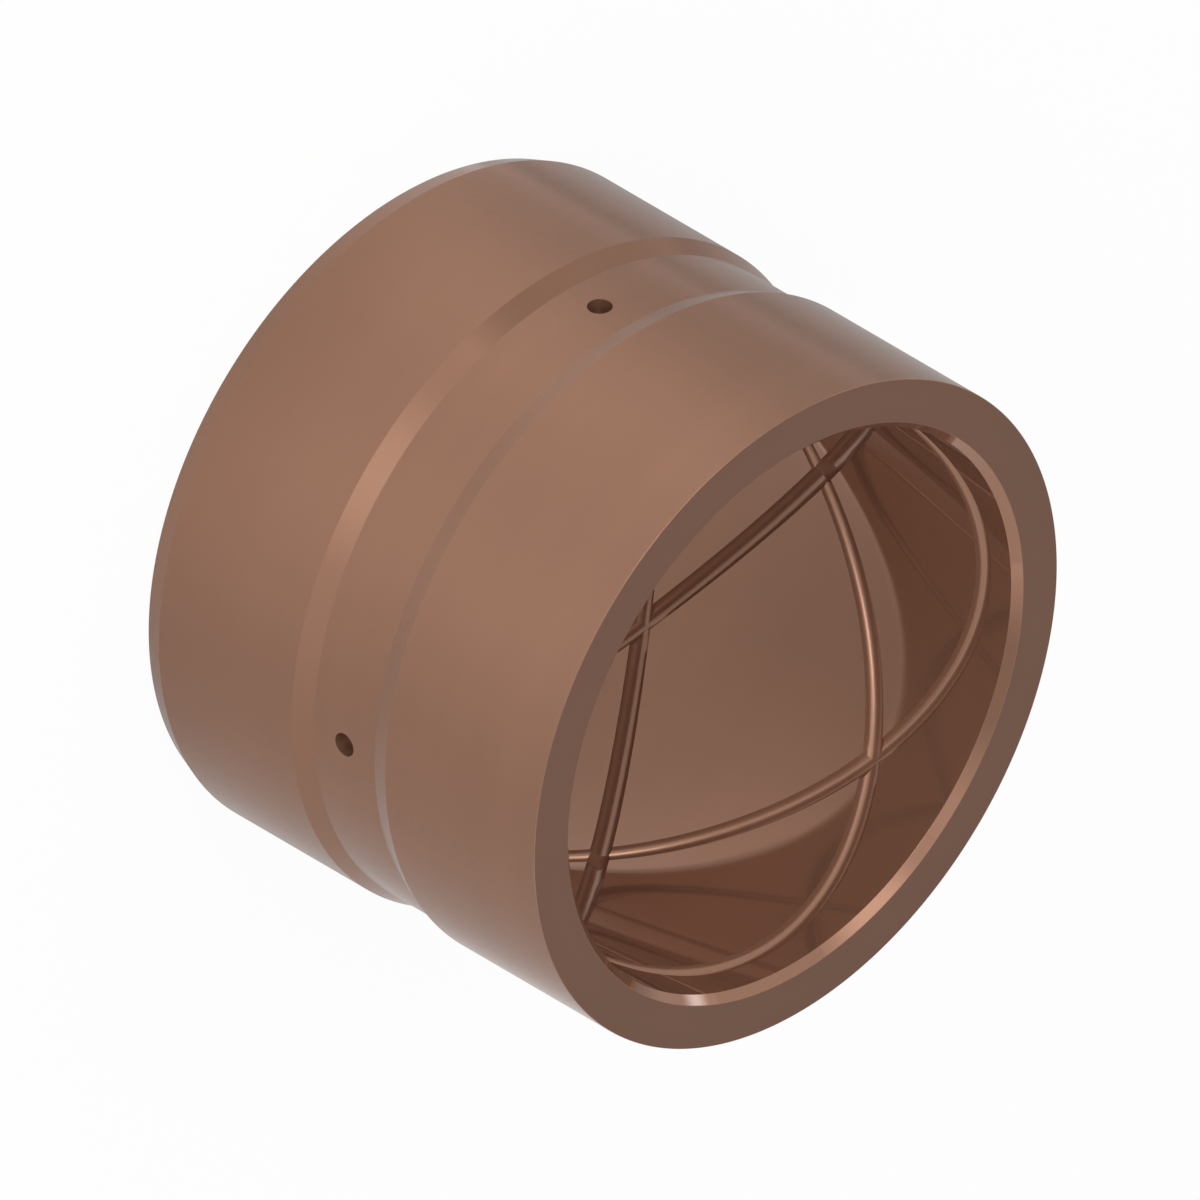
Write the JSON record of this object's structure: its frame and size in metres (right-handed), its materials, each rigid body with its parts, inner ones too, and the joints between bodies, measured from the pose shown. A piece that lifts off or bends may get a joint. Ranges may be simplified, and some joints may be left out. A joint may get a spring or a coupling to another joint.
{
  "type": "grooved bushing",
  "caption": "Plain turned bronze bushing with press-fit lands, an outer relief groove, radial oil holes and crossing oil grooves in the bore.",
  "frame": {"origin": "centre of the end face on the chamfered end, on the bore axis", "axes": "+Z along the bore axis, from the chamfered end towards the plain end; one oil hole on +X"},
  "size_m": [0.085, 0.085, 0.0645],
  "materials": {
    "bronze": "satin, fine turned"
  },
  "bodies": {
    "root": {"bushing": "bronze"}
  },
  "joints": []
}
